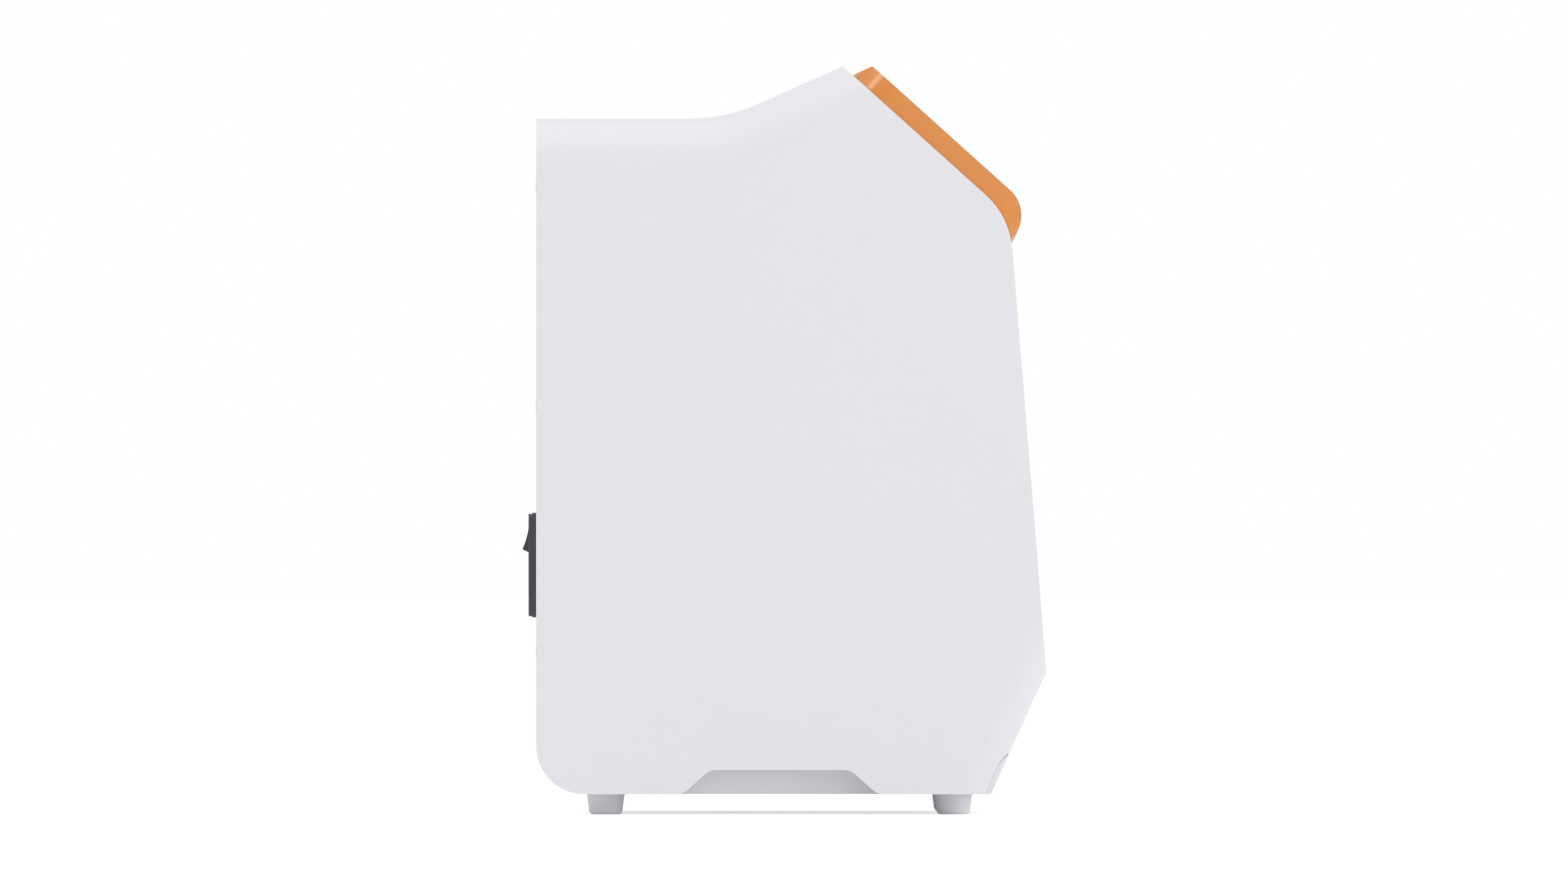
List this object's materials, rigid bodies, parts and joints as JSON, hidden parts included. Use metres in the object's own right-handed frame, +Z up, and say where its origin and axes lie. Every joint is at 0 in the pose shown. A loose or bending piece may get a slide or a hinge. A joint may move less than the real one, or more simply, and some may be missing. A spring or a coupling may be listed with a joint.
{
  "type": "resin printer",
  "caption": "Desktop resin printer: white sloped body with an amber hinged visor over the chamber, resin vat, screw-driven platform, front display and rear inlet.",
  "frame": {"origin": "on the floor under the middle of the bounding box", "axes": "+Z up, front with visor and display towards -Y, +X to the right as seen from the front"},
  "size_m": [0.27, 0.2886, 0.4112],
  "materials": {
    "white_shell": "smooth satin white moulding",
    "white_trim": "matt white moulding",
    "foot_rubber": "pale grey firm rubber",
    "white_sheet": "powder coated sheet",
    "amber_acrylic": "polished translucent amber",
    "black_glass": "polished black glass",
    "clear_lens": "clear moulded lens",
    "clear_film": "clear stretched film",
    "dark_plastic": "dark blue grey moulding",
    "circuit_board": "green solder mask",
    "brass": "turned brass",
    "steel": "ground steel",
    "sheet_steel": "zinc plated sheet",
    "chamber_paint": "dark powder coat",
    "aluminium": "anodised aluminium"
  },
  "bodies": {
    "housing": {"outer_shell": "white_shell", "front_fascia": "white_shell", "base_pan": "white_shell", "grip_cup_left": "white_trim", "grip_cup_right": "white_trim", "foot_front_left": "foot_rubber", "foot_front_right": "foot_rubber", "foot_rear_left": "foot_rubber", "foot_rear_right": "foot_rubber", "rear_panel": "white_sheet", "display_glass": "black_glass", "lcd_panel": "black_glass", "collimator_lens": "clear_lens", "vat_film": "clear_film", "inlet_housing": "dark_plastic", "exhaust_fan_frame": "dark_plastic", "led_fan_frame": "dark_plastic", "end_stop": "dark_plastic", "display_module": "dark_plastic", "mainboard": "circuit_board", "led_board": "circuit_board", "inlet_pins": "brass", "screw_bearings": "brass", "linear_rails": "steel", "magnet_plates": "steel", "side_frame_left": "sheet_steel", "side_frame_right": "sheet_steel", "motor_bracket": "sheet_steel", "display_bracket": "sheet_steel", "hinge_arm_left": "sheet_steel", "hinge_arm_right": "sheet_steel", "power_supply": "sheet_steel", "deck_plate": "chamber_paint", "bulkhead": "chamber_paint", "light_tunnel": "chamber_paint", "z_column": "aluminium", "top_bracket": "aluminium", "heat_sink": "aluminium", "z_motor": "aluminium", "vat": "aluminium", "film_clamp_frame": "aluminium"},
    "visor": {"visor": "amber_acrylic", "visor_hinge_pins": "steel", "visor_magnets": "steel"},
    "z_carriage": {"carriage": "aluminium", "rail_blocks": "steel", "lead_nut": "brass", "platform_arm": "aluminium", "build_platform": "aluminium"},
    "platform_knob": {"platform_knob": "dark_plastic"},
    "z_screw": {"lead_screw": "steel", "shaft_coupler": "aluminium", "motor_shaft": "steel"},
    "power_rocker": {"power_rocker": "dark_plastic"},
    "fuse_drawer": {"fuse_drawer": "dark_plastic"},
    "exhaust_rotor": {"exhaust_fan_rotor": "dark_plastic"},
    "led_rotor": {"led_fan_rotor": "dark_plastic"},
    "vat_knob_left": {"vat_knob_left": "dark_plastic"},
    "vat_knob_right": {"vat_knob_right": "dark_plastic"}
  },
  "joints": [
    {"name": "visor_hinge", "type": "hinge", "parent": "housing", "child": "visor", "pos_m": [0, -0.04407, 0.40488], "axis": [-1, 0, 0], "range_deg": [0, 105]},
    {"name": "z_slide", "type": "slide", "parent": "housing", "child": "z_carriage", "axis": [0, 0, 1], "range_m": [-0.077, 0]},
    {"name": "platform_knob_turn", "type": "hinge", "parent": "z_carriage", "child": "platform_knob", "pos_m": [0, -0.06387, 0.37], "axis": [0, 0, 1], "range_deg": [0, 180]},
    {"name": "screw_turn", "type": "hinge", "parent": "housing", "child": "z_screw", "pos_m": [0, 0.01064, 0.24], "axis": [0, 0, 1], "range_deg": [0, 3466]},
    {"name": "power_rocker_tip", "type": "hinge", "parent": "housing", "child": "power_rocker", "pos_m": [0.072, 0.13814, 0.1535], "axis": [-1, 0, 0], "range_deg": [0, 24]},
    {"name": "fuse_drawer_slide", "type": "slide", "parent": "housing", "child": "fuse_drawer", "axis": [0, 1, 0], "range_m": [0, 0.02]},
    {"name": "exhaust_fan_spin", "type": "hinge", "parent": "housing", "child": "exhaust_rotor", "pos_m": [-0.048, 0.12413, 0.2152], "axis": [0, 1, 0], "continuous": true},
    {"name": "led_fan_spin", "type": "hinge", "parent": "housing", "child": "led_rotor", "pos_m": [0, -0.06387, 0.12], "axis": [0, 0, 1], "continuous": true},
    {"name": "vat_knob_left_turn", "type": "hinge", "parent": "housing", "child": "vat_knob_left", "pos_m": [-0.092, -0.06387, 0.25], "axis": [0, 0, 1], "range_deg": [0, 180]},
    {"name": "vat_knob_right_turn", "type": "hinge", "parent": "housing", "child": "vat_knob_right", "pos_m": [0.092, -0.06387, 0.25], "axis": [0, 0, 1], "range_deg": [0, 180]}
  ],
  "couplings": [
    {"joint": "screw_turn", "follows": "z_slide", "rad_per_m": -785.4}
  ]
}
